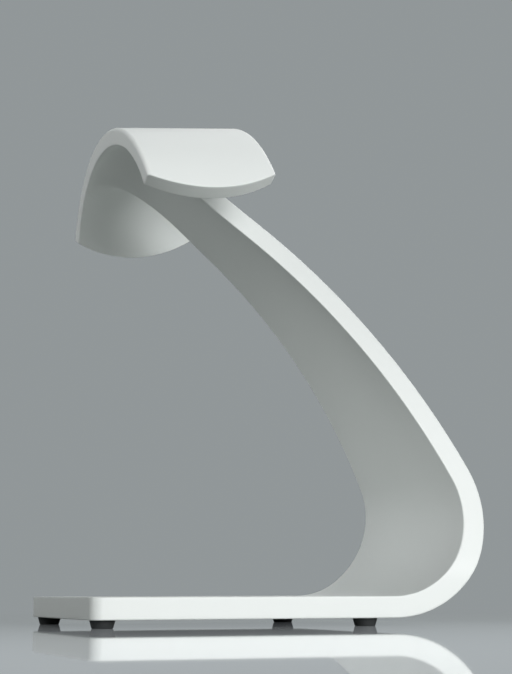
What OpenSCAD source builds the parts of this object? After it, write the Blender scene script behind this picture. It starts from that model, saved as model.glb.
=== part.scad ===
// Headphone stand: a broad flat base bends up into a leaning arm that narrows to a neck.
// The neck carries an arched saddle. Four rubber feet are screwed under the base.
// Millimetres, +Z up, +X from the free end of the base towards the bend.
// The origin is on the floor, under the middle of the stand.

/* [Stand] */
// Height of the stand, from the floor to the top of the saddle
stand_h = 269; // [263:1:275]

/* [Base] */
// Length of the flat base, from its free end to the start of the bend
base_l = 157.5; // [130:0.5:190]
// Width of the base
base_w = 142; // [120:1:165]
// Thickness of the base
base_t = 11; // [9:0.5:14]
// Radius of the two corners at the free end, seen from above
corner_r = 6; // [2:0.5:12]

/* [Bend and arm] */
// Radius of the bend, at the middle of its thickness
bend_r = 48; // [38:1:60]
// Turn from the flat base to the foot of the arm, in degrees
bend_turn = 116.5; // [110:0.5:122]
// Thickness at the middle of the bend
bend_t = 12; // [9:0.5:15]
// Radius of the arm's long curve, at the middle of its thickness
arm_r = 380; // [320:5:440]
// Turn of the arm over its long curve, in degrees
arm_turn = 25; // [21:0.5:30]
// Thickness of the arm at the neck
arm_t = 10.5; // [9:0.5:12]
// Width of the arm where the straight neck starts
neck_w = 65.5; // [54:0.5:77]
// Height at which the sides start to lean in
taper_z = 29; // [22:1:42]
// Radius of the soft corner where the sides start to lean in
taper_r = 60; // [20:5:100]
// Radius of the fillet all round the neck, where it runs into the saddle's ceiling
neck_fillet = 10; // [6:0.5:12]

/* [Saddle] */
// Length of the saddle along its ridge
saddle_l = 68; // [58:1:80]
// Rise of the ridge away from the free end, in degrees
saddle_tilt = 5; // [0:0.5:8]
// Distance along the ridge from the saddle's free end to the middle of the neck
neck_back = 15.5; // [12.5:0.5:24]
// Thickness of the saddle at its crown
crown_t = 9.5; // [7.5:0.5:12]
// Radius of the outer face of the arch
saddle_out_r = 97.5; // [95:0.5:108]
// Half width of the ellipse that the inner face of the arch follows
arch_half_w = 79; // [74:0.5:80.5]
// Height of that half ellipse
arch_h = 62.5; // [58:0.5:69]
// Depth of a wing's lowest point below the ridge
wing_h = 54; // [46:0.5:57]
// Radius of a wing's curved lower edge
wing_r = 66; // [58:1:110]
// Slope of a wing's lower face, rising outwards, in degrees
wing_slope = 22; // [12:1:32]
// Radius of the soft edge round each end of the saddle's outer face
saddle_edge_r = 2; // [1:0.5:5]

/* [Feet] */
// Height of a rubber foot
foot_h = 4; // [3.5:0.25:8]
// Diameter of a foot against the base
foot_top_d = 12.7; // [11:0.1:16]
// Diameter of a foot on the floor
foot_floor_d = 10.4; // [9:0.1:14]
// Distance of the free end's feet from the end of the base
foot_end_inset = 8; // [7:0.5:20]
// Distance of the feet from the side edges of the base
foot_side_inset = 10.5; // [8:0.5:25]
// Distance between the two pairs of feet, along the base
foot_spread = 137; // [100:1:140]

/* [Fixings] */
// Diameter of the foot screw's shank
screw_d = 3; // [2.5:0.5:4]
// Length of the screw's shank under its head
screw_l = 7.5; // [6:0.5:9]
// Diameter of the screw's head
screw_head_d = 5.4; // [5:0.1:6]
// Height of the screw's head
screw_head_h = 1.3; // [1:0.1:1.6]
// Width of the hexagonal socket in the screw's head, across its corners
socket_d = 2.3; // [1.5:0.1:2.6]
// Outer diameter of the washer inside a foot
washer_d = 6.4; // [6.2:0.1:7]
// Thickness of the washer
washer_t = 0.5; // [0.3:0.1:0.8]
// Outer diameter of the threaded insert
insert_d = 4.6; // [4.5:0.1:6]
// Length of the threaded insert
insert_l = 5.5; // [4:0.5:6.5]
// Diameter of the dowels between neck and saddle
dowel_d = 4; // [3:0.5:5]
// Depth of a dowel in the saddle
dowel_in_saddle = 4.5; // [3:0.5:5]
// Depth of a dowel in the neck
dowel_in_neck = 6.5; // [4:0.5:7]
// Distance between the two dowels
dowel_spread = 28; // [16:1:32]
// Distance of the dowels from the middle of the neck, along the ridge
dowel_shift = 4; // [2:0.5:6]
// Gap round a pin, screw or insert in its hole, and at the ends of blind holes
fit_gap = 0.1; // [0.05:0.05:0.2]
// Thickness of the glue film between neck and saddle
glue_gap = 0.1; // [0.05:0.05:0.2]

/* [Hidden] */
$fn = 96;
arch_fn = 150;
edge_fn = 32;
bend_steps = 26;
arm_steps = 14;
arc_steps = 12;
ellipse_steps = 60;
// How far a cutting shape reaches past what it cuts
over = 1;

function radians(angle) = angle * PI / 180;
function smooth(u) = u * u * (3 - 2 * u);

// Thickness along the band: even on the base, thickest at mid bend, then falling steadily to the neck
half_turn = bend_turn / 2;
fall_l = radians(half_turn) * bend_r + radians(arm_turn) * arm_r;
function bend_thickness(turn) = turn < half_turn
    ? base_t + (bend_t - base_t) * smooth(turn / half_turn)
    : bend_t + (arm_t - bend_t) * radians(turn - half_turn) * bend_r / fall_l;
function arm_thickness(turn) =
    arm_t + (bend_t - arm_t) * radians(bend_turn + arm_turn - turn) * arm_r / fall_l;

// The stand is as long as its base and the outside of its bend
stand_l = base_l + bend_r + bend_thickness(90) / 2;
free_end_x = -stand_l / 2;
bend_x = free_end_x + base_l;
base_mid_z = foot_h + base_t / 2;

// Middle line of the band in the X-Z plane: flat base, bend, long curve, straight neck
neck_turn = bend_turn + arm_turn;
function bend_point(turn) = [bend_x + bend_r * sin(turn), base_mid_z + bend_r * (1 - cos(turn))];
arm_start = bend_point(bend_turn);
function arm_point(turn) =
    arm_start + arm_r * [sin(turn) - sin(bend_turn), cos(bend_turn) - cos(turn)];
neck_start = arm_point(neck_turn);
neck_way = [cos(neck_turn), sin(neck_turn)];

// The straight neck is as long as the stand's height asks for, up to the saddle's ceiling
seat_x = neck_back - saddle_l / 2;
saddle_top = (saddle_l / 2 - saddle_edge_r - seat_x) * sin(saddle_tilt)
    + (crown_t - saddle_edge_r) * cos(saddle_tilt) + saddle_edge_r;
neck_l = (stand_h - saddle_top - neck_start[1]) / sin(neck_turn);
seat = neck_start + neck_l * neck_way;

// Each station is a point of the middle line, its heading and its thickness
stations = concat(
    [[[free_end_x, base_mid_z], 0, base_t]],
    [for (i = [0:bend_steps]) let (turn = bend_turn * i / bend_steps)
        [bend_point(turn), turn, bend_thickness(turn)]],
    [for (i = [1:arm_steps]) let (turn = bend_turn + arm_turn * i / arm_steps)
        [arm_point(turn), turn, arm_thickness(turn)]],
    [[seat + 2 * arm_t * neck_way, neck_turn, arm_t]]
);
function side_point(station, side) =
    station[0] + side * station[2] / 2 * [-sin(station[1]), cos(station[1])];
last_station = len(stations) - 1;
side_outline = concat(
    [for (station = stations) side_point(station, 1)],
    [for (i = [last_station:-1:0]) side_point(stations[i], -1)]
);

// Half width of the band by height: full on the base, then leaning in on a straight line
lean = (base_w - neck_w) / 2 / (neck_start[1] - taper_z);
lean_angle = atan(lean);
function half_width(z) = base_w / 2 - lean * (z - taper_z);
taper_run = taper_r * tan(lean_angle / 2);
taper_corner = [for (i = [0:arc_steps]) let (turn = lean_angle * i / arc_steps)
    [base_w / 2 - taper_r * (1 - cos(turn)), taper_z - taper_run + taper_r * sin(turn)]];
taper_top_z = seat[1] + arm_t;
front_half = concat([[base_w / 2, 0]], taper_corner, [[half_width(taper_top_z), taper_top_z]]);

// The saddle's frame has its origin on the ceiling, under the middle of the ridge
saddle_origin = seat - seat_x * [cos(saddle_tilt), sin(saddle_tilt)];
meet_angle = 180 - neck_turn + saddle_tilt;

// The fillet beside the neck touches the neck's side and the ceiling, taken as round near its crown.
// It starts a hair inside the neck's side, so that it comes out of it smoothly.
ceiling_r = arch_half_w * arch_half_w / arch_h;
flare_sink = neck_fillet / 40;
flare_from_wall = half_width(seat[1]) - flare_sink + lean * ceiling_r + neck_fillet / cos(lean_angle);
flare_reach = ceiling_r - neck_fillet;
lean_square = 1 + lean * lean;
flare_up = (flare_from_wall * lean
    + sqrt(flare_reach * flare_reach * lean_square - flare_from_wall * flare_from_wall)) / lean_square;
flare_centre = [flare_from_wall - lean * flare_up, flare_up - ceiling_r];
flare_start = 180 + lean_angle;
flare_end = atan2(flare_up, flare_centre[0]);
flare_side = [for (i = [0:arc_steps])
    let (turn = flare_start + (flare_end - flare_start) * i / arc_steps)
        flare_centre + neck_fillet * [cos(turn), sin(turn)]];
flare_half = concat(
    [flare_side[0] - [neck_fillet, 0]],
    flare_side,
    [[flare_side[arc_steps][0], crown_t]]
);

// Fillets under and over the neck, in the X-Z plane of the saddle's frame
half_meet = arm_t / 2 / sin(meet_angle);
under_x = seat_x - half_meet - neck_fillet * tan(meet_angle / 2);
under_fillet = concat(
    [for (i = [0:arc_steps]) let (turn = meet_angle * i / arc_steps)
        [under_x + neck_fillet * sin(turn), neck_fillet * (cos(turn) - 1)]],
    [[seat_x, 0], [seat_x, crown_t], [under_x, crown_t]]
);
over_x = seat_x + half_meet + neck_fillet / tan(meet_angle / 2);
over_turn = 180 - meet_angle;
over_end = [over_x - neck_fillet * sin(over_turn), neck_fillet * (cos(over_turn) - 1)];
over_fillet = concat(
    [for (i = [0:arc_steps]) let (turn = over_turn * i / arc_steps)
        [over_x - neck_fillet * sin(turn), neck_fillet * (cos(turn) - 1)]],
    [over_end - arm_t / 2 * [sin(meet_angle), cos(meet_angle)], [seat_x, 0],
        [seat_x, crown_t], [over_x, crown_t]]
);

// Half ellipse of the arch's inner face, and the place of a wing's lowest inner point
wing_depth = wing_h - crown_t;
wing_y = arch_half_w * sqrt(1 - pow((arch_h - wing_depth) / arch_h, 2));

// Feet: a name and the signs of its place along X and Y
corners = [["end_front", -1, -1], ["end_back", -1, 1], ["bend_front", 1, -1], ["bend_back", 1, 1]];
foot_end_x = free_end_x + foot_end_inset;
foot_y = base_w / 2 - foot_side_inset;
function foot_x(corner) = corner[1] < 0 ? foot_end_x : foot_end_x + foot_spread;

// Heights inside a foot, from the floor up: head clearance, head, washer, then the rubber web
head_clear = (foot_h - screw_head_h - washer_t) / 4;
head_z = head_clear;
washer_z = head_z + screw_head_h;
web_z = washer_z + washer_t;
screw_top_z = washer_z + screw_l;
insert_z = foot_h + 2 * fit_gap;
insert_hole_z = max(insert_z + insert_l, screw_top_z) + 3 * fit_gap;
socket_depth = 0.6 * screw_head_h;

// Dowels: signs of their place along Y
dowels = [["front", -1], ["back", 1]];

function mirrored(half) = concat(half, [for (i = [len(half) - 1:-1:0]) [-half[i][0], half[i][1]]]);

// Places children in the saddle's frame
module in_saddle_frame() {
    translate([saddle_origin[0], 0, saddle_origin[1]]) rotate([0, -saddle_tilt, 0]) children();
}

// Carries an outline drawn in X and Z across the stand, over the given width
module across(width) {
    translate([0, width / 2, 0]) rotate([90, 0, 0]) linear_extrude(width) children();
}

// Carries an outline drawn in Y and Z along X, from the given start over the given length
module along(start, length) {
    translate([start, 0, 0]) rotate([90, 0, 90]) linear_extrude(length) children();
}

// Everything outside the arch's inner face, above the wings: it trims the neck to the ceiling
module over_ceiling(gap) {
    reach = saddle_out_r + crown_t;
    along(-saddle_l, 2 * saddle_l) difference() {
        translate([-reach, -arch_h]) square([2 * reach, arch_h + reach]);
        translate([0, -arch_h]) arch_outline(gap);
    }
}

// Half ellipse of the arch's inner face with the space below it, drawn in by a gap
module arch_outline(gap) {
    polygon(concat(
        [[arch_half_w - gap, -saddle_out_r]],
        [for (i = [0:ellipse_steps]) let (turn = 180 * i / ellipse_steps)
            [(arch_half_w - gap) * cos(turn), (arch_h - gap) * sin(turn)]],
        [[gap - arch_half_w, -saddle_out_r]]
    ));
}

// Places children at one corner's foot, on the floor
module at_foot(corner) {
    translate([foot_x(corner), corner[2] * foot_y, 0]) children();
}

// Places children on the ceiling at one dowel, with Z through the crown
module at_dowel(dowel) {
    y = dowel[1] * dowel_spread / 2;
    ceiling_z = arch_h * (sqrt(1 - pow(y / arch_half_w, 2)) - 1);
    in_saddle_frame() translate([seat_x + dowel_shift, y, ceiling_z]) children();
}

// Rounds one corner of the free end, seen from above
module corner_cut(side) {
    translate([free_end_x + corner_r, side * (base_w / 2 - corner_r), foot_h - over])
        difference() {
            translate([-corner_r - over, side > 0 ? 0 : -corner_r - over, 0])
                cube([corner_r + over, corner_r + over, base_t + 2 * over]);
            translate([0, 0, -over]) cylinder(r = corner_r, h = base_t + 4 * over);
        }
}

// Side view of the band, carried across: the bent strip and the fillets under and over its neck
module side_view() {
    width = base_w + 2 * over;
    across(width) polygon(side_outline);
    in_saddle_frame() across(width) polygon(under_fillet);
    in_saddle_frame() across(width) polygon(over_fillet);
}

// Front view of the band, carried along: the leaning sides and the fillets beside its neck
module front_view() {
    along(-stand_l, 2 * stand_l) polygon(mirrored(front_half));
    in_saddle_frame() along(-saddle_l, 2 * saddle_l) polygon(mirrored(flare_half));
}

// Base, bend and arm in one moulding: the side view and the front view cut out of each other
module band() {
    color("whitesmoke") difference() {
        intersection() {
            side_view();
            front_view();
        }
        in_saddle_frame() over_ceiling(glue_gap);
        for (side = [-1, 1]) corner_cut(side);
        for (corner = corners) at_foot(corner)
            translate([0, 0, foot_h - over])
                cylinder(d = insert_d + 2 * fit_gap, h = insert_hole_z - foot_h + over);
        for (dowel = dowels) at_dowel(dowel)
            translate([0, 0, -dowel_in_neck - fit_gap])
                cylinder(d = dowel_d + 2 * fit_gap, h = dowel_in_neck + crown_t);
    }
}

// Outer half of the saddle's length and radius, with the soft edge round each end
module saddle_rim() {
    straight = saddle_l - 2 * saddle_edge_r;
    translate([0, -straight / 2]) square([saddle_out_r, straight]);
    translate([0, -saddle_l / 2]) square([saddle_out_r - saddle_edge_r, saddle_l]);
    for (end = [-1, 1])
        translate([saddle_out_r - saddle_edge_r, end * straight / 2]) circle(r = saddle_edge_r, $fn = edge_fn);
}

// Round bar whose lower side gives one wing its curved lower edge
module wing_edge(side) {
    translate([0, side * wing_y, -wing_depth]) rotate([side * wing_slope, 0, 0])
        translate([0, 0, wing_r]) rotate([90, 0, 0])
            cylinder(r = wing_r, h = 4 * saddle_out_r, center = true, $fn = arch_fn);
}

// Arched saddle: a turned rim, hollowed to the half ellipse and trimmed to two curved wings
module saddle() {
    color("white") difference() {
        in_saddle_frame() intersection() {
            difference() {
                translate([0, 0, crown_t - saddle_out_r]) rotate([0, 90, 0]) rotate([0, 0, 90])
                    rotate_extrude($fn = arch_fn) saddle_rim();
                along(-saddle_l, 2 * saddle_l) translate([0, -arch_h]) arch_outline(0);
            }
            wing_edge(-1);
            wing_edge(1);
        }
        for (dowel = dowels) at_dowel(dowel)
            translate([0, 0, -crown_t])
                cylinder(d = dowel_d + 2 * fit_gap, h = crown_t + dowel_in_saddle + fit_gap);
    }
}

// Steel dowel with broken edges, half in the neck and half in the saddle
module dowel_pin(dowel) {
    length = dowel_in_neck + dowel_in_saddle;
    edge = dowel_d / 10;
    color("silver") at_dowel(dowel) translate([0, 0, -dowel_in_neck]) rotate_extrude()
        polygon([[0, 0], [dowel_d / 2 - edge, 0], [dowel_d / 2, edge], [dowel_d / 2, length - edge],
            [dowel_d / 2 - edge, length], [0, length]]);
}

// Tapered rubber foot with a stepped hole for its washer and screw
module foot(corner) {
    color("#1c1d1f") at_foot(corner) difference() {
        cylinder(d1 = foot_floor_d, d2 = foot_top_d, h = foot_h);
        translate([0, 0, -over]) cylinder(d = washer_d + 2 * fit_gap, h = web_z + over);
        cylinder(d = screw_d + 2 * fit_gap, h = foot_h + over);
    }
}

// Flat steel washer that keeps the screw's head from pulling through the rubber
module foot_washer(corner) {
    color("lightgrey") at_foot(corner) translate([0, 0, washer_z]) difference() {
        cylinder(d = washer_d, h = washer_t);
        translate([0, 0, -over]) cylinder(d = screw_d + 2 * fit_gap, h = washer_t + 2 * over);
    }
}

// Socket screw with a low head, up through the foot into the base
module foot_screw(corner) {
    color("gainsboro") at_foot(corner) difference() {
        union() {
            translate([0, 0, head_z]) cylinder(d = screw_head_d, h = screw_head_h);
            translate([0, 0, washer_z]) cylinder(d = screw_d, h = screw_l);
        }
        translate([0, 0, head_z - over]) cylinder(d = socket_d, h = socket_depth + over, $fn = 6);
    }
}

// Brass insert pressed into the base from below, with a groove round its middle
module foot_insert(corner) {
    groove = insert_d / 12;
    color("goldenrod") at_foot(corner) translate([0, 0, insert_z]) difference() {
        cylinder(d = insert_d, h = insert_l);
        translate([0, 0, -over]) cylinder(d = screw_d + 2 * fit_gap, h = insert_l + 2 * over);
        translate([0, 0, insert_l / 2 - groove]) difference() {
            cylinder(d = insert_d + over, h = 2 * groove);
            cylinder(d = insert_d - groove, h = 2 * groove);
        }
    }
}

band();
saddle();
for (dowel = dowels) {
    dowel_pin(dowel);
}
for (corner = corners) {
    foot(corner);
    foot_washer(corner);
    foot_screw(corner);
    foot_insert(corner);
}
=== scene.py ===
"""Headphone stand, dressed for rendering.

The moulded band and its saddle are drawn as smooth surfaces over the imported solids, the feet as turned
rubber, and every piece gets its finish. Metres, +Z up, +X from the free end of the base towards the bend.
"""

import bmesh
import bpy
import numpy as np
from bpy.props import FloatProperty, FloatVectorProperty, PointerProperty
from bpy.types import Operator, Panel, PropertyGroup
from mathutils import Matrix, Vector


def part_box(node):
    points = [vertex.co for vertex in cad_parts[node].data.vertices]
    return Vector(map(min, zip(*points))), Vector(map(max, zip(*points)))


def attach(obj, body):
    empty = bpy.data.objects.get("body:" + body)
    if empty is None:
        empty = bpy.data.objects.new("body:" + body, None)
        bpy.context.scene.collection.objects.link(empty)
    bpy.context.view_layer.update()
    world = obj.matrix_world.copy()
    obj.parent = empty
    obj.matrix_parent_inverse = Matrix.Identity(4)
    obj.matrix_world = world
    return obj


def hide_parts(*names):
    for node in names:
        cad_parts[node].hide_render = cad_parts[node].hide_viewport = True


bl_info = {
    "name": "Headphone stand",
    "version": (1, 0, 0),
    "blender": (4, 5, 0),
    "location": "3D View > Sidebar > Stand",
    "description": "Draws the stand's mouldings, feet and finishes over its packed solids",
    "category": "Object",
}

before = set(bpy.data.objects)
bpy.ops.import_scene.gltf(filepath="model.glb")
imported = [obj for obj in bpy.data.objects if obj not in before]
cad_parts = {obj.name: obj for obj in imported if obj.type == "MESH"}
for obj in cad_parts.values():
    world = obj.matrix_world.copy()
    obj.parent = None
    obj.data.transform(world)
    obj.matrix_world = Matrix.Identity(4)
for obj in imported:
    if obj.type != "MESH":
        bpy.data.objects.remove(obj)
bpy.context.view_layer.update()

CORNERS = ("end_front", "end_back", "bend_front", "bend_back")
DOWELS = ("front", "back")
MM = 0.001
RIGHT_ANGLE = np.pi / 2

# Meshes: edges that stay sharp, points that become one, and faces too thin to keep
SHARP_ANGLE = np.radians(50)
WELD_DISTANCE = 2e-6
THIN_DISTANCE = 1e-7

# Points round a section: on a soft edge, over the strip's wide face and up its side
QUARTER_POINTS = 11
ACROSS_POINTS = 21
THROUGH_POINTS = 9

# Points of the free end's corners, and rings along the strip from there to the saddle
PLAN_POINTS = 13
BASE_RINGS = 15
BEND_RINGS = 64
ARM_RINGS = 40
NECK_RINGS = 3
CLIMB_RINGS = 5
FLARE_RINGS = 28
TOP_RINGS = 7

# Neck: its length in the strip's own even rings, and the search for the saddle's ceiling above it
STRAIGHT_NECK = 12 * MM
SEARCH_REACH = 120 * MM
HALVINGS = 40

# Top of the flare: its gap to the saddle's free end, the width of its rim, and how far its end, its rim
# and its middle lie above the ceiling, in the saddle
FREE_END_GAP = 0.2 * MM
RIM_WIDTH = 0.8 * MM
FLARE_RISE = 0.03 * MM
RIM_RISE = 0.25 * MM
TOP_RISE = 0.5 * MM

# Saddle: points along the ridge, up half an end face, on a wing's soft edge, over the arch and across a
# wing's lower face, and the least radius that an edge is drawn in to
RIDGE_POINTS = 25
END_POINTS = 4
LIP_POINTS = 7
ARCH_POINTS = 90
LOWER_FACE_ROWS = 5
LEAST_RADIUS = 0.05 * MM

# Feet: points on a soft corner and round the axis, and the most of a short side that a soft corner takes
SOFT_POINTS = 6
SPIN_POINTS = 73
SOFT_SHARE = 0.25

# Floor: its size and fineness, its matt and its mirror roughness, and the point from which its fade is
# measured, in metres
FLOOR_RADIUS = 2.4
FLOOR_RINGS = 7
FLOOR_POINTS = 97
FLOOR_MATT = 0.7
FLOOR_MIRROR = 0.025
FADE_CENTRE = (0, -0.3, 0)

# Camera: width of its sensor in millimetres, and the nearest thing that it shows, in metres
SENSOR_WIDTH = 36
NEAREST_SIGHT = 0.01

# Sockets of a Mix node that are in use while it mixes colours
MIX_FACTOR, MIX_FIRST, MIX_SECOND = 0, 6, 7
MIX_RESULT = 2


def length(name, description, millimetres):
    """A size, given in millimetres and kept in metres."""
    return FloatProperty(
        name=name, description=description, default=millimetres * MM, unit="LENGTH", precision=5)


def lengths(name, description, millimetres):
    """Three sizes, given in millimetres and kept in metres."""
    return FloatVectorProperty(
        name=name, description=description, default=[each * MM for each in millimetres],
        unit="LENGTH", precision=5)


def angle(name, description, degrees):
    """An angle, given in degrees and kept in radians."""
    return FloatProperty(
        name=name, description=description, default=np.radians(degrees), subtype="ANGLE")


def share(name, description, default):
    """A share between nothing and all."""
    return FloatProperty(
        name=name, description=description, default=default, min=0, max=1, subtype="FACTOR")


def colour(name, description, default):
    """A linear colour."""
    return FloatVectorProperty(
        name=name, description=description, default=default, min=0, max=1, subtype="COLOR")


def power(name, description, watts):
    """The power of a lamp."""
    return FloatProperty(name=name, description=description, default=watts, unit="POWER")


class BandSizes(PropertyGroup):
    """Sizes of the bent strip."""

    base_length: length("Base length", "Flat base, from its free end to the bend", 157.5)
    base_thickness: length("Base thickness", "Thickness of the flat base", 11)
    corner_radius: length("Corner radius", "Corners of the free end, seen from above", 6)
    bend_radius: length("Bend radius", "At the middle of the thickness", 48)
    bend_turn: angle("Bend turn", "Turn from the base to the foot of the arm", 116.5)
    bend_thickness: length("Bend thickness", "Thickness at the middle of the bend", 12)
    arm_radius: length("Arm radius", "Long curve of the arm, at the middle of the thickness", 380)
    arm_turn: angle("Arm turn", "Turn of the arm over its long curve", 25)
    arm_thickness: length("Arm thickness", "Thickness of the arm at the neck", 10.5)
    neck_width: length("Neck width", "Width where the straight neck starts", 65.5)
    taper_height: length("Taper height", "Height at which the sides start to lean in", 29)
    taper_radius: length("Taper radius", "Soft corner where the sides start to lean in", 60)
    flare_below: lengths(
        "Flare below", "Start of the flare under the ceiling: over, beside and under the neck",
        (26, 60, 16))
    flare_out: lengths(
        "Flare out", "End of the flare along the ceiling: over, beside and under the neck",
        (26, 30, 4))
    flare_fan: angle("Flare fan", "Turn of the flare towards the edges of the neck's wide faces", 40)
    edge_radius: length("Edge radius", "Soft edges all round the strip", 0.7)


class SaddleSizes(PropertyGroup):
    """Sizes of the arched rest on the neck."""

    ridge_length: length("Length", "Length along the ridge", 68)
    tilt: angle("Tilt", "Rise of the ridge away from the free end", 5)
    neck_back: length("Neck place", "From the saddle's free end to the middle of the neck", 15.5)
    crown_thickness: length("Crown thickness", "Thickness at the crown", 9.5)
    outer_radius: length("Outer radius", "Outer face of the arch", 97.5)
    arch_half_width: length("Arch half width", "Half width of the inner face's ellipse", 79)
    arch_height: length("Arch height", "Height of the inner face's half ellipse", 62.5)
    wing_drop: length("Wing drop", "Depth of a wing's lowest point below the ridge", 54)
    wing_radius: length("Wing radius", "Curve of a wing's lower edge", 66)
    wing_slope: angle("Wing slope", "Slope of a wing's lower face, rising outwards", 22)
    soft_edge: length("Soft edge", "Edge round each end of the outer face", 2)
    edge_radius: length("Edge radius", "All other edges", 0.7)


class FootSizes(PropertyGroup):
    """Sizes of the rubber feet."""

    floor_diameter: length("Floor diameter", "Diameter of a foot on the floor", 10.4)
    recess_diameter: length("Recess diameter", "Recess for the washer and the screw's head", 6.6)
    recess_depth: length("Recess depth", "Depth of that recess", 2.35)
    bore_diameter: length("Bore diameter", "Hole for the screw's shank", 3.2)
    edge_radius: length("Edge radius", "Soft edges of the rubber", 0.5)


class StandFinishes(PropertyGroup):
    """Colours and grain of the finishes."""

    white: colour("White plastic", "Satin white of band and saddle", (0.77, 0.805, 0.79))
    white_roughness: share("White roughness", "Sheen of the white plastic", 0.42)
    grain: length("Grain", "Size of the fine grain in the moulded plastic", 0.5)
    rubber: colour("Rubber", "Black of the feet", (0.021, 0.023, 0.024))
    steel: colour("Steel", "Screws, washers and dowels", (0.56, 0.56, 0.57))
    brass: colour("Brass", "Threaded inserts", (0.72, 0.50, 0.20))


class StageSettings(PropertyGroup):
    """Camera, light and floor."""

    camera_place: FloatVectorProperty(
        name="Camera place", description="Where the camera stands", default=(-0.2860, -0.8223, 0.0168),
        subtype="TRANSLATION", unit="LENGTH", precision=5)
    camera_yaw: angle("Camera yaw", "Turn to the right of straight ahead", 19.32)
    camera_pitch: angle("Camera pitch", "Tilt above the horizon", 9.08)
    camera_roll: angle("Camera roll", "Turn of the picture, anticlockwise", -0.19)
    camera_lens: FloatProperty(
        name="Lens", description="Focal length on a 36 mm sensor", default=85.47, unit="CAMERA")
    floor: colour("Floor", "Plain pale floor", (0.43, 0.455, 0.44))
    # Painted light: the floor's glow is an emission for the eye, a pale pool in front of the stand; no lamp
    # gives it
    glow: colour(
        "Glow", "Paleness that the floor adds for the eye, without lighting the stand",
        (0.125, 0.134, 0.144))
    surround: colour("Surround", "Plain paleness all round, for the eye", (0.285, 0.31, 0.318))
    key_power: power("Key", "Low soft box at the front right", 20.5)
    left_power: power("Left", "Soft box at the upper left", 0.5)
    back_power: power("Back", "Large soft box behind, at the right", 4.2)
    sky: share("Sky", "Even light from all round", 0.07)


def points_of(x, y, z):
    """Points from arrays of their coordinates, spread to one common shape."""
    return np.stack(np.broadcast_arrays(x, y, z), axis=-1)


def steps(count, start=0.0, end=1.0):
    """Even steps from a start to an end, without the start itself."""
    return np.linspace(start, end, count + 1)[1:]


def quadratic(start, control, end, t):
    """Points at t, from 0 to 1, of the quadratic curve from start to end with one control point."""
    return (1 - t) ** 2 * start + 2 * t * (1 - t) * control + t ** 2 * end


class Strip:
    """Middle line, thickness and width of the band, over the arc length s from its free end.

    The line is straight on the base, round in the bend, round again in the arm and straight in the neck.
    The thickness rises smoothly up to the middle of the bend and then falls in step with s.
    The half width is full on the base, and above a soft corner it falls on a straight line with height.
    """

    def __init__(self, sizes):
        low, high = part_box("band")
        self.sizes = sizes
        self.start_x = low.x
        self.start_z = low.z + sizes.base_thickness / 2
        self.base_half_width = high.y
        self.bend_at = sizes.base_length
        self.arm_at = self.bend_at + sizes.bend_radius * sizes.bend_turn
        self.neck_at = self.arm_at + sizes.arm_radius * sizes.arm_turn
        self.neck_heading = sizes.bend_turn + sizes.arm_turn
        neck_z = self.middle(self.neck_at)[1]
        self.lean = (self.base_half_width - sizes.neck_width / 2) / (neck_z - sizes.taper_height)

    def middle(self, s):
        """X, Z and heading of the middle line at arc length s."""
        k = self.sizes
        base = np.minimum(s, self.bend_at)
        bend = np.clip((s - self.bend_at) / k.bend_radius, 0, k.bend_turn)
        arm = np.clip((s - self.arm_at) / k.arm_radius, 0, k.arm_turn)
        neck = np.maximum(s - self.neck_at, 0)
        x = (self.start_x + base + k.bend_radius * np.sin(bend)
             + k.arm_radius * (np.sin(k.bend_turn + arm) - np.sin(k.bend_turn))
             + neck * np.cos(self.neck_heading))
        z = (self.start_z + k.bend_radius * (1 - np.cos(bend))
             + k.arm_radius * (np.cos(k.bend_turn) - np.cos(k.bend_turn + arm))
             + neck * np.sin(self.neck_heading))
        return x, z, bend + arm

    def thickness(self, s):
        """Thickness of the strip at arc length s."""
        k = self.sizes
        thickest_at = (self.bend_at + self.arm_at) / 2
        rise = np.clip((s - self.bend_at) / (thickest_at - self.bend_at), 0, 1)
        fall = np.clip((s - thickest_at) / (self.neck_at - thickest_at), 0, 1)
        swell = rise * rise * (3 - 2 * rise)
        return (k.base_thickness + (k.bend_thickness - k.base_thickness) * swell
                + (k.arm_thickness - k.bend_thickness) * fall)

    def half_width(self, z):
        """Half width at height z: full, then a soft round corner, then a straight lean."""
        k = self.sizes
        lean_angle = np.arctan(self.lean)
        arc_rise = k.taper_radius * np.sin(lean_angle)
        rise = z - k.taper_height + k.taper_radius * np.tan(lean_angle / 2)
        on_arc = np.clip(rise, 0, arc_rise) / k.taper_radius
        arc = k.taper_radius * (1 - np.sqrt(1 - on_arc ** 2))
        return self.base_half_width - np.where(rise < arc_rise, arc, self.lean * (z - k.taper_height))

    def surface(self, s, plan, marks):
        """Points of the strip's skin.

        A mark is a place round the section: it lies at its share of the thickness and of the width, both
        drawn in by the edge radius, and then steps out by its part of that radius. The plan angle turns
        this step from straight ahead, at the free end's face, to straight sideways, along the sides.
        """
        k = self.sizes
        deep, deep_step, wide, wide_step = marks
        s = s - np.abs(wide_step) * k.edge_radius * np.cos(plan)
        x, z, heading = self.middle(s)
        out = deep * (self.thickness(s) / 2 - k.edge_radius) + deep_step * k.edge_radius
        x = x - out * np.sin(heading)
        z = z + out * np.cos(heading)
        core = self.half_width(z) - k.corner_radius + (k.corner_radius - k.edge_radius) * np.sin(plan)
        y = wide * core + wide_step * k.edge_radius * np.sin(plan)
        return points_of(x, y, z)


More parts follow.
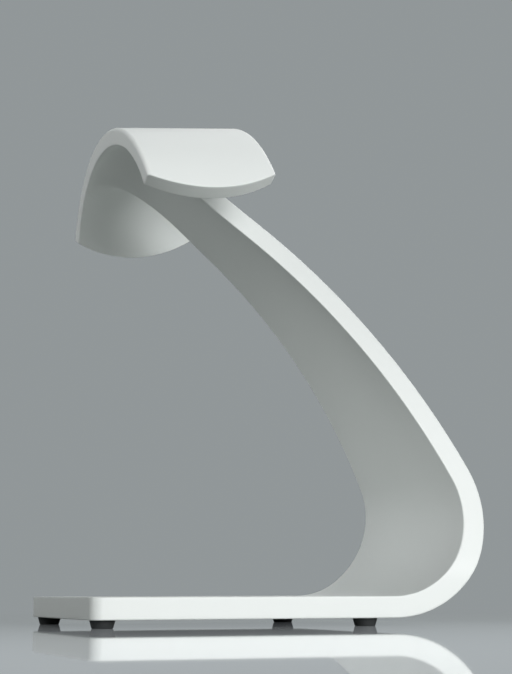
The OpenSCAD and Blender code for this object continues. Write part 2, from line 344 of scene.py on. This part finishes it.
class Arch:
    """Frame and curves of the saddle: x along its ridge, z up from its ceiling, y across.

    The frame is tilted, and placed so that the neck's middle line meets the ceiling at the neck's place and
    the soft edge at the raised end of the ridge is the stand's highest point.
    """

    def __init__(self, sizes, strip):
        k = self.sizes = sizes
        self.cos, self.sin = np.cos(k.tilt), np.sin(k.tilt)
        neck_place = k.neck_back - k.ridge_length / 2
        stand_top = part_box("saddle")[1].z
        top_over_seat = ((k.ridge_length / 2 - k.soft_edge - neck_place) * self.sin
                         + (k.crown_thickness - k.soft_edge) * self.cos + k.soft_edge)
        neck_x, neck_z, heading = strip.middle(strip.neck_at)
        seat_z = stand_top - top_over_seat
        seat_x = neck_x + (seat_z - neck_z) / np.tan(heading)
        self.origin_x = seat_x - neck_place * self.cos
        self.origin_z = seat_z - neck_place * self.sin

    def world(self, x, y, z):
        """Points given in the saddle's frame, in the stand's frame."""
        stand_x = self.origin_x + x * self.cos - z * self.sin
        stand_z = self.origin_z + x * self.sin + z * self.cos
        return points_of(stand_x, y, stand_z)

    def local(self, points):
        """Points given in the stand's frame, as x, y and z in the saddle's frame."""
        x, y, z = points[..., 0] - self.origin_x, points[..., 1], points[..., 2] - self.origin_z
        return x * self.cos + z * self.sin, y, z * self.cos - x * self.sin

    def ceiling(self, y):
        """Height of the inner face, a half ellipse with its crown at nought."""
        k = self.sizes
        return k.arch_height * (np.sqrt(1 - (y / k.arch_half_width) ** 2) - 1)

    def wing_angle(self, x):
        """Ellipse angle at which the inner face meets a wing's lower face, at x along the ridge.

        The lower face is a round bar's side, sloped outwards, so the ellipse point's height over the sloped
        plane through the lowest point equals the bar's rise at x. That is one cosine in the ellipse angle.
        """
        k = self.sizes
        slope_sin, slope_cos = np.sin(k.wing_slope), np.cos(k.wing_slope)
        depth = k.wing_drop - k.crown_thickness
        lowest_y = k.arch_half_width * np.sqrt(1 - ((k.arch_height - depth) / k.arch_height) ** 2)
        rise = k.wing_radius - np.sqrt(k.wing_radius ** 2 - x ** 2)
        across, up = k.arch_half_width * slope_sin, k.arch_height * slope_cos
        level = rise - lowest_y * slope_sin + (k.arch_height - depth) * slope_cos
        return np.arccos(level / np.hypot(across, up)) - np.arctan2(across, up)

    def wall(self, x, turn, inner_share, step):
        """Points in the wall of the arch, at x along the ridge.

        turn runs from -1 at the front wing's lower face through 0 at the crown to 1 at the back wing's. It
        sets the point of the inner ellipse, and the wall's own direction, which swings evenly from upright
        at the crown to the wing's slope. The wall ends on the outer circle. A point lies at its share of
        the wall, counted from the inner face, plus a step in metres.
        """
        k = self.sizes
        along = turn * self.wing_angle(x)
        y = k.arch_half_width * np.sin(along)
        z = k.arch_height * (np.cos(along) - 1)
        swing = RIGHT_ANGLE - (RIGHT_ANGLE - k.wing_slope) * np.abs(turn)
        out_y, out_z = np.sign(turn) * np.cos(swing), np.sin(swing)
        from_centre = z - k.crown_thickness + k.outer_radius
        towards = y * out_y + from_centre * out_z
        thick = np.sqrt(towards ** 2 - y ** 2 - from_centre ** 2 + k.outer_radius ** 2) - towards
        depth = inner_share * thick + step
        return self.world(x, y + depth * out_y, z + depth * out_z)


def grid_faces(rows, columns, closed):
    """Quads of a grid of points, joined round its columns if it is closed."""
    row = np.arange(rows - 1)[:, None] * columns
    column = np.arange(columns if closed else columns - 1)[None, :]
    after = (column + 1) % columns
    corners = (row + column, row + after, row + columns + after, row + columns + column)
    return np.stack(corners, axis=-1).reshape(-1, 4)


def skin(name, grids):
    """One smooth mesh from grids of points, each with its flag for closed columns. Rims are welded."""
    points, faces, first = [], [], 0
    for grid, closed in grids:
        rows, columns = grid.shape[:2]
        points.append(grid.reshape(-1, 3))
        faces.append(grid_faces(rows, columns, closed) + first)
        first += rows * columns
    mesh = bpy.data.meshes.new(name)
    mesh.from_pydata(np.concatenate(points).tolist(), [], np.concatenate(faces).tolist())
    work = bmesh.new()
    work.from_mesh(mesh)
    bmesh.ops.remove_doubles(work, verts=work.verts, dist=WELD_DISTANCE)
    bmesh.ops.dissolve_degenerate(work, edges=work.edges, dist=THIN_DISTANCE)
    bmesh.ops.recalc_face_normals(work, faces=work.faces)
    work.to_mesh(mesh)
    work.free()
    mesh.shade_smooth()
    mesh.set_sharp_from_angle(angle=SHARP_ANGLE)
    piece = bpy.data.objects.new(name, mesh)
    bpy.context.scene.collection.objects.link(piece)
    return piece


def dress(piece, node, finish):
    """Puts a new piece on the stand in place of its solid, with its finish."""
    piece.data.materials.append(finish)
    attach(piece, "root")
    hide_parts(node)


def section_marks(fan):
    """Marks round the strip's section, the way each one faces, the marks of one side, and places across.

    The order is inner face, back side, outer face, front side, with a quarter round at each edge. The
    second half of the way round is the first half turned by two right angles. The inner face is the base's
    upper one and the neck's lower one. The facing angle is nought in the middle of the inner face and a
    right angle more in the middle of each next face. On the inner and outer face it turns by the fan
    towards the edges, as the cube of the place across.
    """
    quarter = np.linspace(0, RIGHT_ANGLE, QUARTER_POINTS)
    across = np.sin(np.linspace(-RIGHT_ANGLE, RIGHT_ANGLE, ACROSS_POINTS))
    through = np.linspace(1, -1, THROUGH_POINTS)
    one, none = np.ones_like, np.zeros_like
    rest = 1 - fan / RIGHT_ANGLE
    stretches = [
        (one(across), one(across), across, none(across), fan * across ** 3),
        (one(quarter), np.cos(quarter), one(quarter), np.sin(quarter), fan + rest * quarter),
        (through, none(through), one(through), one(through), RIGHT_ANGLE * one(through)),
        (-one(quarter), -np.sin(quarter), one(quarter), np.cos(quarter), RIGHT_ANGLE + rest * quarter),
    ]
    half = np.concatenate([np.stack(stretch)[:, :-1] for stretch in stretches], axis=1)
    marks = np.concatenate([half[:4], -half[:4]], axis=1)
    facing = np.concatenate([half[4], half[4] + 2 * RIGHT_ANGLE])
    side = marks[:, ACROSS_POINTS - 1:half.shape[1] + 1]
    return marks, facing, side, across


def neck_rings(strip, arch, marks, facing, body_end):
    """Rings that carry the strip's section up the neck and flare it out along the saddle's ceiling.

    Each mark climbs its own straight line. Where this meets the ceiling is found by halving an interval.
    The flare is a quadratic curve from a point below the meeting, with that as its control point, to a
    point out along the ceiling. Heights count from the ceiling, so that it ends flush. How far below and
    how far out depends on the way the mark faces: long over and beside the neck, short under it, where the
    saddle's free end is near. The last rings close the top, hidden in the saddle.
    """
    k = strip.sizes
    low = np.full(facing.shape, strip.neck_at)
    high = low + SEARCH_REACH
    for _ in range(HALVINGS):
        middle = (low + high) / 2
        y, z = arch.local(strip.surface(middle, RIGHT_ANGLE, marks))[1:]
        under = z < arch.ceiling(y)
        low, high = np.where(under, middle, low), np.where(under, high, middle)
    meet_x, meet_y = arch.local(strip.surface(low, RIGHT_ANGLE, marks))[:2]

    ahead, beside = -np.cos(facing), np.sin(facing)
    shares = np.stack([np.maximum(ahead, 0) ** 2, beside ** 2, np.minimum(ahead, 0) ** 2])
    below = np.tensordot(np.array(k.flare_below), shares, 1)
    out = np.tensordot(np.array(k.flare_out), shares, 1)
    free_end = FREE_END_GAP + arch.sizes.edge_radius - arch.sizes.ridge_length / 2

    def along_ceiling(reach, height):
        """Each mark's meeting point, moved out along the ceiling by a reach and set over it at a height."""
        x = np.maximum(meet_x + reach * ahead, free_end)
        return points_of(x, meet_y + reach * beside, height)

    climb = steps(CLIMB_RINGS)[:, None]
    neck = strip.surface(body_end + climb * (low - below - body_end), RIGHT_ANGLE, marks)
    start_x, start_y, start_z = arch.local(neck[-1])
    start = points_of(start_x, start_y, start_z - arch.ceiling(start_y))
    bend = steps(FLARE_RINGS)[:, None, None]
    flare = quadratic(start, along_ceiling(0.0, 0.0), along_ceiling(out, FLARE_RISE), bend)
    rim = along_ceiling(out + RIM_WIDTH, RIM_RISE)
    shrink = steps(TOP_RINGS, 1, 0)[:, None, None]
    centre = np.array([np.mean(meet_x), 0.0, TOP_RISE])
    top = np.concatenate([flare, [rim], centre + shrink * (rim - centre)])
    top_z = arch.ceiling(top[..., 1]) + top[..., 2]
    return np.concatenate([neck, arch.world(top[..., 0], top[..., 1], top_z)])


def band_grids(strip, arch):
    """Skin of the bent strip: its section carried from the free end to the saddle, and that end's face."""
    k = strip.sizes
    marks, facing, side, across = section_marks(k.flare_fan)
    plan = np.linspace(0, RIGHT_ANGLE, PLAN_POINTS)
    corner = k.corner_radius - (k.corner_radius - k.edge_radius) * np.cos(plan)
    body_end = strip.neck_at + STRAIGHT_NECK
    body = np.concatenate([
        steps(BASE_RINGS, k.corner_radius, strip.bend_at),
        steps(BEND_RINGS, strip.bend_at, strip.arm_at),
        steps(ARM_RINGS, strip.arm_at, strip.neck_at),
        steps(NECK_RINGS, strip.neck_at, body_end),
    ])
    s = np.concatenate([corner, body])[:, None]
    plan = np.concatenate([plan, np.full(body.shape, RIGHT_ANGLE)])[:, None]
    neck = neck_rings(strip, arch, marks, facing, body_end)
    rings = np.concatenate([strip.surface(s, plan, marks), neck])
    face_marks = side[0][:, None], side[1][:, None], across[None, :], side[3][:, None]
    return [(rings, True), (strip.surface(corner[0], 0.0, face_marks), False)]


def saddle_section(sizes, inset):
    """Upper and lower half of the section across the saddle's wall, drawn in by an inset.

    Both run from the middle of one end face to the middle of the other, in three rows: places along the
    ridge, shares of the wall's thickness, and steps in metres. The outer corners have the soft edge, the
    inner ones the small edge.
    """
    half = sizes.ridge_length / 2 - inset
    quarter = np.linspace(0, RIGHT_ANGLE, QUARTER_POINTS)
    along = np.sin(np.linspace(-RIGHT_ANGLE, RIGHT_ANGLE, RIDGE_POINTS))[1:-1]
    rise = np.linspace(0, 1, END_POINTS)[:-1]

    def half_section(radius, wall_share, way):
        """Half an end face, a quarter round, the long face, and the same again at the other end."""
        radius = max(radius - inset, LEAST_RADIUS)
        flat = half - radius
        x = np.concatenate([half + 0 * rise, flat + radius * np.cos(quarter)])
        shares = np.concatenate([0.5 + (wall_share - 0.5) * rise, wall_share + 0 * quarter])
        step = -way * np.concatenate([(radius + inset) * rise, inset + radius * (1 - np.sin(quarter))])
        return np.stack([
            np.concatenate([x, -flat * along, -x[::-1]]),
            np.concatenate([shares, wall_share + 0 * along, shares[::-1]]),
            np.concatenate([step, -way * inset + 0 * along, step[::-1]]),
        ])

    return half_section(sizes.soft_edge, 1.0, 1), half_section(sizes.edge_radius, 0.0, -1)


def saddle_grids(arch):
    """Skin of the saddle: its wall section carried over the arch, and the wings' lower faces.

    Towards each lower face the section draws in along a quarter round, and rows between its upper and its
    lower half close the face.
    """
    k = arch.sizes
    wing_length = k.arch_half_width * arch.wing_angle(0.0)
    quarter = np.linspace(0, RIGHT_ANGLE, LIP_POINTS)
    end_turns = 1 - k.edge_radius * (1 - np.sin(quarter)) / wing_length
    end_insets = k.edge_radius * (1 - np.cos(quarter))
    middle_turns = np.linspace(-end_turns[0], end_turns[0], ARCH_POINTS)[1:-1]
    turns = np.concatenate([-end_turns[::-1], middle_turns, end_turns])
    insets = np.concatenate([end_insets[::-1], np.zeros(middle_turns.shape), end_insets])

    def ring(turn, inset):
        """The upper half of the section and then the lower half backwards, set in the wall at one turn."""
        upper, lower = saddle_section(k, inset)
        x, shares, step = np.concatenate([upper, lower[:, -2:0:-1]], axis=1)
        return arch.wall(x, turn, shares, step)

    def lower_face(turn):
        """Even rows from the upper to the lower half of the section at the end of a wing."""
        upper, lower = saddle_section(k, end_insets[-1])
        blend = np.linspace(0, 1, LOWER_FACE_ROWS)[:, None]
        x, shares, step = upper[:, None] + blend * (lower - upper)[:, None]
        return arch.wall(x, turn, shares, step)

    wall = np.stack([ring(turn, inset) for turn, inset in zip(turns, insets)])
    return [(wall, True), (lower_face(-1.0), False), (lower_face(1.0), False)]


def foot_grid(sizes, low, high):
    """Skin of one turned foot: a closed outline with soft corners, spun about the foot's own upright axis.

    Each soft corner is a quadratic curve that starts and ends one edge radius from the corner, or less
    where the outline's sides are short.
    """
    centre = (low + high) / 2
    height, top_radius = high.z - low.z, (high.x - low.x) / 2
    recess_radius, bore_radius = sizes.recess_diameter / 2, sizes.bore_diameter / 2
    corners = np.array([
        [recess_radius, 0], [sizes.floor_diameter / 2, 0], [top_radius, height],
        [bore_radius, height], [bore_radius, sizes.recess_depth], [recess_radius, sizes.recess_depth],
    ])
    before, after = np.roll(corners, 1, axis=0) - corners, np.roll(corners, -1, axis=0) - corners
    long_before = np.linalg.norm(before, axis=1, keepdims=True)
    long_after = np.linalg.norm(after, axis=1, keepdims=True)
    soft = np.minimum(sizes.edge_radius, SOFT_SHARE * np.minimum(long_before, long_after))
    start = corners + before / long_before * soft
    end = corners + after / long_after * soft
    bend = np.linspace(0, 1, SOFT_POINTS)[:, None]
    outline = quadratic(start[:, None], corners[:, None], end[:, None], bend)
    radius, z = outline.reshape(-1, 2).T
    spin = np.linspace(0, 2 * np.pi, SPIN_POINTS)[:, None]
    points = points_of(centre.x + radius * np.cos(spin), centre.y + radius * np.sin(spin), low.z + z)
    return points, True


class Wire:
    """One output of a node. Arithmetic on it adds Math nodes to its finish."""

    def __init__(self, finish, socket):
        self.finish = finish
        self.socket = socket

    def math(self, operation, left, right):
        """Wire of a new Math node that works on two wires or numbers."""
        return self.finish.node("ShaderNodeMath", {"operation": operation}, {0: left, 1: right})

    def __add__(self, other):
        return self.math("ADD", self, other)

    def __sub__(self, other):
        return self.math("SUBTRACT", self, other)

    def __rsub__(self, other):
        return self.math("SUBTRACT", other, self)

    def __mul__(self, other):
        return self.math("MULTIPLY", self, other)

    __radd__ = __add__
    __rmul__ = __mul__


class Finish:
    """Nodes of a material, or of the world round the stage, and the shader that they feed."""

    def __init__(self, owner, shader, constants):
        owner.use_nodes = True
        self.owner = owner
        self.tree = owner.node_tree
        self.shader = self.tree.nodes[shader]
        for socket, value in constants.items():
            self.shader.inputs[socket].default_value = value
        self.place = self.node("ShaderNodeTexCoord", output="Object")

    def node(self, kind, settings=None, inputs=None, output=0):
        """Adds a node, sets it up, fills or links its sockets and returns the wire of one output."""
        node = self.tree.nodes.new(kind)
        for name, value in (settings or {}).items():
            setattr(node, name, value)
        for socket, value in (inputs or {}).items():
            if isinstance(value, Wire):
                self.tree.links.new(value.socket, node.inputs[socket])
            else:
                node.inputs[socket].default_value = value
        return Wire(self, node.outputs[output])

    def feed(self, socket, wire):
        """Links a wire to one of the shader's own sockets."""
        self.tree.links.new(wire.socket, self.shader.inputs[socket])

    def noise(self, size, detail=2.0, stretch=(1.0, 1.0, 1.0)):
        """Noise with features of about the given size, drawn out along the axes by the stretch."""
        scale = [1 / (size * way) for way in stretch]
        place = self.node("ShaderNodeMapping", {}, {"Vector": self.place, "Scale": scale})
        return self.node("ShaderNodeTexNoise", {}, {"Vector": place, "Scale": 1.0, "Detail": detail})

    def ramp(self, value, none_at, full_at):
        """Nought to one as a value runs from one level to another, with soft ends."""
        return self.node("ShaderNodeMapRange", {"interpolation_type": "SMOOTHSTEP"},
                         {"Value": value, "From Min": none_at, "From Max": full_at})

    def mix(self, factor, first, second):
        """Colour that runs from the first to the second with the factor."""
        inputs = {MIX_FACTOR: factor, MIX_FIRST: (*first, 1), MIX_SECOND: (*second, 1)}
        return self.node("ShaderNodeMix", {"data_type": "RGBA"}, inputs, output=MIX_RESULT)

    def tint(self, factor, dark, light):
        """Base colour that runs from dark to light with the factor."""
        self.feed("Base Color", self.mix(factor, dark, light))

    def bump(self, height, depth):
        """Relief of the given depth from a height that runs from nought to one."""
        inputs = {"Strength": 1.0, "Distance": depth, "Height": height}
        self.feed("Normal", self.node("ShaderNodeBump", {}, inputs))

    def fade(self, factor, glow):
        """Lets the surface run into a plain glow with the factor."""
        surface = Wire(self, self.shader.outputs[0])
        plain = self.node("ShaderNodeEmission", {}, {"Color": glow})
        both = self.node("ShaderNodeMixShader", {}, {0: factor, 1: surface, 2: plain})
        self.tree.links.new(both.socket, self.tree.nodes["Material Output"].inputs["Surface"])


def new_finish(name, constants):
    """The nodes of a new material, with constants on its shader's own sockets."""
    return Finish(bpy.data.materials.new(name), "Principled BSDF", constants)


def shade_of(colour_value, factor):
    """A colour made darker or lighter by a factor."""
    return [channel * factor for channel in colour_value]


def swing(wire, amount):
    """A value that swings about nought, by half the amount each way, as a wire runs from nought to one."""
    return amount * (wire - 0.5)


def white_plastic(name, look):
    """Satin moulded plastic: a fine eggshell grain under a faintly uneven sheen."""
    finish = new_finish(name, {"Specular IOR Level": 0.45})
    grain = finish.noise(size=look.grain, detail=3.0)
    cloud = finish.noise(size=45 * MM)
    finish.tint(cloud, dark=shade_of(look.white, 0.985), light=shade_of(look.white, 1.015))
    finish.feed("Roughness", look.white_roughness + swing(cloud, 0.08) + swing(grain, 0.10))
    finish.bump(grain, depth=0.012 * MM)
    return finish.owner


def black_rubber(look):
    """Matt rubber: a coarse grain, and a grey bloom in soft patches."""
    finish = new_finish("black_rubber", {"Specular IOR Level": 0.35})
    grain = finish.noise(size=0.35 * MM, detail=4.0)
    bloom = finish.noise(size=4 * MM)
    finish.tint(bloom, dark=look.rubber, light=shade_of(look.rubber, 1.7))
    finish.feed("Roughness", 0.68 + 0.16 * bloom)
    finish.bump(grain, depth=0.05 * MM)
    return finish.owner


def turned_metal(name, base, roughness):
    """Turned metal: fine rings across the axis and soft cloudy stains."""
    finish = new_finish(name, {"Metallic": 1.0})
    rings = finish.noise(size=0.12 * MM, stretch=(30.0, 30.0, 1.0))
    stain = finish.noise(size=2.5 * MM)
    finish.tint(stain, dark=shade_of(base, 0.86), light=base)
    finish.feed("Roughness", roughness + swing(rings, 0.18) + 0.10 * stain)
    finish.bump(rings, depth=0.006 * MM)
    return finish.owner


def dress_nodes(nodes, finish):
    """Gives solids that stay in view their finish."""
    for name in nodes:
        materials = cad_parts[name].data.materials
        materials.clear()
        materials.append(finish)


class STAND_OT_band(Operator):
    """Draws the bent strip with its neck flared into the saddle"""

    bl_idname = "stand.band"
    bl_label = "Band"

    def execute(self, context):
        scene = context.scene
        strip = Strip(scene.stand_band)
        piece = skin("band_moulding", band_grids(strip, Arch(scene.stand_saddle, strip)))
        dress(piece, "band", white_plastic("band_white", scene.stand_finishes))
        return {"FINISHED"}


class STAND_OT_saddle(Operator):
    """Draws the arched saddle with its two wings"""

    bl_idname = "stand.saddle"
    bl_label = "Saddle"

    def execute(self, context):
        scene = context.scene
        arch = Arch(scene.stand_saddle, Strip(scene.stand_band))
        piece = skin("saddle_moulding", saddle_grids(arch))
        dress(piece, "saddle", white_plastic("saddle_white", scene.stand_finishes))
        return {"FINISHED"}


class STAND_OT_feet(Operator):
    """Turns the rubber feet"""

    bl_idname = "stand.feet"
    bl_label = "Feet"

    def execute(self, context):
        scene = context.scene
        rubber = black_rubber(scene.stand_finishes)
        for corner in CORNERS:
            node = f"foot_{corner}"
            piece = skin(f"{node}_rubber", [foot_grid(scene.stand_feet, *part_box(node))])
            dress(piece, node, rubber)
        return {"FINISHED"}


class STAND_OT_fixings(Operator):
    """Finishes the screws, washers, inserts and dowels"""

    bl_idname = "stand.fixings"
    bl_label = "Fixings"

    def execute(self, context):
        look = context.scene.stand_finishes
        steel_nodes = [f"{kind}_{corner}" for kind in ("foot_screw", "foot_washer") for corner in CORNERS]
        steel_nodes += [f"dowel_{side}" for side in DOWELS]
        brass_nodes = [f"foot_insert_{corner}" for corner in CORNERS]
        dress_nodes(steel_nodes, turned_metal("turned_steel", look.steel, roughness=0.30))
        dress_nodes(brass_nodes, turned_metal("turned_brass", look.brass, roughness=0.28))
        return {"FINISHED"}


def soft_box(name, watts, place, aim, width, height, spread):
    """A flat area lamp at a place, turned towards its aim, with a beam of the given spread in degrees.

    The camera doesn't see the lamp itself.
    """
    lamp = bpy.data.lights.new(name, "AREA")
    lamp.shape = "RECTANGLE"
    lamp.size = width
    lamp.size_y = height
    lamp.spread = np.radians(spread)
    lamp.energy = watts
    box = bpy.data.objects.new(name, lamp)
    box.visible_camera = False
    box.location = place
    box.rotation_euler = (Vector(aim) - Vector(place)).to_track_quat("-Z", "Y").to_euler()
    bpy.context.scene.collection.objects.link(box)


def hang_lamps(stage):
    """Three soft boxes: a low wide one in front, a narrow one at the upper left and a large one behind."""
    middle = (0.0, 0.0, 0.13)
    soft_box("key_box", stage.key_power,
             place=(0.9, -3.0, 0.75), aim=middle, width=3.2, height=1.3, spread=70)
    soft_box("left_box", stage.left_power,
             place=(-1.5, -0.25, 1.2), aim=(-0.05, 0.0, 0.32), width=0.6, height=0.6, spread=22)
    soft_box("back_box", stage.back_power,
             place=(1.2, 1.0, 1.2), aim=middle, width=2.0, height=2.0, spread=70)


def seen_by_eye(finish):
    """One for what the eye sees, straight, in gloss or through glass, and nought for all other light."""
    return (finish.node("ShaderNodeLightPath", output="Is Camera Ray")
            + finish.node("ShaderNodeLightPath", output="Is Glossy Ray")
            + finish.node("ShaderNodeLightPath", output="Is Transmission Ray"))


def surround_colour(finish, stage):
    """Colour all round the stage: the pale surround for the eye, and the faint sky for all other light."""
    return finish.mix(seen_by_eye(finish), [stage.sky] * 3, stage.surround)


def even_light(stage):
    """World in the colour of the surround."""
    world = Finish(bpy.data.worlds.new("even_light"), "Background", {})
    world.feed("Color", surround_colour(world, stage))
    return world.owner


def floor_paper(stage):
    """Pale paper: matt, but a mirror for an eye that looks along it.

    To the eye and in reflections it carries painted light: a pale glow, full in front of the stand and
    thinning out under and behind it, which adds nothing to the light that it throws on the stand. Away
    from a point in front of the stand it runs into the surround, so that it has no edge and no lamp draws
    a pool on it.
    """
    paper = new_finish("floor_paper", {"Specular IOR Level": 0.5, "Emission Strength": 1.0})
    paper.tint(paper.noise(size=0.4), dark=shade_of(stage.floor, 0.99), light=shade_of(stage.floor, 1.01))
    facing = paper.node("ShaderNodeLayerWeight", {}, {"Blend": 0.5}, output="Facing")
    along = paper.ramp(facing, none_at=0.86, full_at=0.94)
    paper.feed("Roughness", FLOOR_MATT - (FLOOR_MATT - FLOOR_MIRROR) * along)
    depth = paper.node("ShaderNodeSeparateXYZ", {}, {"Vector": paper.place}, output="Y")
    # Painted light: the glow is full in front of the stand and none behind it, so it thins out under the
    # stand
    front = paper.ramp(depth, none_at=0.2, full_at=-0.45)
    paper.feed("Emission Color", paper.mix(seen_by_eye(paper) * front, (0, 0, 0), stage.glow))
    away = paper.node(
        "ShaderNodeVectorMath", {"operation": "DISTANCE"}, {0: paper.place, 1: FADE_CENTRE}, output="Value")
    paper.fade(paper.ramp(away, none_at=0.4, full_at=1.2), surround_colour(paper, stage))
    return paper.owner


def floor_grid():
    """Flat round floor: rings about the point under the middle of the stand."""
    radius = np.linspace(0, FLOOR_RADIUS, FLOOR_RINGS)[:, None]
    turn = np.linspace(0, 2 * np.pi, FLOOR_POINTS)
    return points_of(radius * np.cos(turn), radius * np.sin(turn), 0.0), False


def place_camera(stage):
    """Camera at the photograph's place: turned to the right, tilted up, then rolled."""
    lens = bpy.data.cameras.new("stand_camera")
    lens.sensor_width = SENSOR_WIDTH
    lens.lens = stage.camera_lens
    lens.clip_start = NEAREST_SIGHT
    camera = bpy.data.objects.new("stand_camera", lens)
    yaw = Matrix.Rotation(-stage.camera_yaw, 4, "Z")
    pitch = Matrix.Rotation(RIGHT_ANGLE + stage.camera_pitch, 4, "X")
    roll = Matrix.Rotation(stage.camera_roll, 4, "Z")
    turn = yaw @ pitch @ roll
    camera.matrix_world = Matrix.Translation(stage.camera_place) @ turn
    bpy.context.scene.collection.objects.link(camera)
    return camera


class STAND_OT_stage(Operator):
    """Sets the floor, the soft light and the camera"""

    bl_idname = "stand.stage"
    bl_label = "Stage"

    def execute(self, context):
        scene = context.scene
        stage = scene.stand_stage
        floor = skin("floor_disc", [floor_grid()])
        floor.data.materials.append(floor_paper(stage))
        hang_lamps(stage)
        scene.world = even_light(stage)
        scene.camera = place_camera(stage)
        scene.view_settings.view_transform = "Standard"
        return {"FINISHED"}


OPERATORS = (STAND_OT_band, STAND_OT_saddle, STAND_OT_feet, STAND_OT_fixings, STAND_OT_stage)
GROUPS = {
    "stand_band": BandSizes,
    "stand_saddle": SaddleSizes,
    "stand_feet": FootSizes,
    "stand_finishes": StandFinishes,
    "stand_stage": StageSettings,
}


class STAND_PT_sidebar(Panel):
    """Lists the stand's sizes, finishes and steps"""

    bl_label = "Headphone stand"
    bl_idname = "STAND_PT_sidebar"
    bl_space_type = "VIEW_3D"
    bl_region_type = "UI"
    bl_category = "Stand"

    def draw(self, context):
        for name, group in GROUPS.items():
            box = self.layout.box()
            for setting in group.__annotations__:
                box.prop(getattr(context.scene, name), setting)
        for operator in OPERATORS:
            self.layout.operator(operator.bl_idname)


def register():
    for group in GROUPS.values():
        bpy.utils.register_class(group)
    for operator in OPERATORS + (STAND_PT_sidebar,):
        bpy.utils.register_class(operator)
    for name, group in GROUPS.items():
        setattr(bpy.types.Scene, name, PointerProperty(type=group))


def unregister():
    for name in GROUPS:
        delattr(bpy.types.Scene, name)
    for operator in (STAND_PT_sidebar,) + OPERATORS[::-1]:
        bpy.utils.unregister_class(operator)
    for group in GROUPS.values():
        bpy.utils.unregister_class(group)


def main():
    """Draws the whole stand on its stage."""
    register()
    bpy.ops.stand.stage()
    bpy.ops.stand.band()
    bpy.ops.stand.saddle()
    bpy.ops.stand.feet()
    bpy.ops.stand.fixings()


if __name__ == "__main__":
    main()
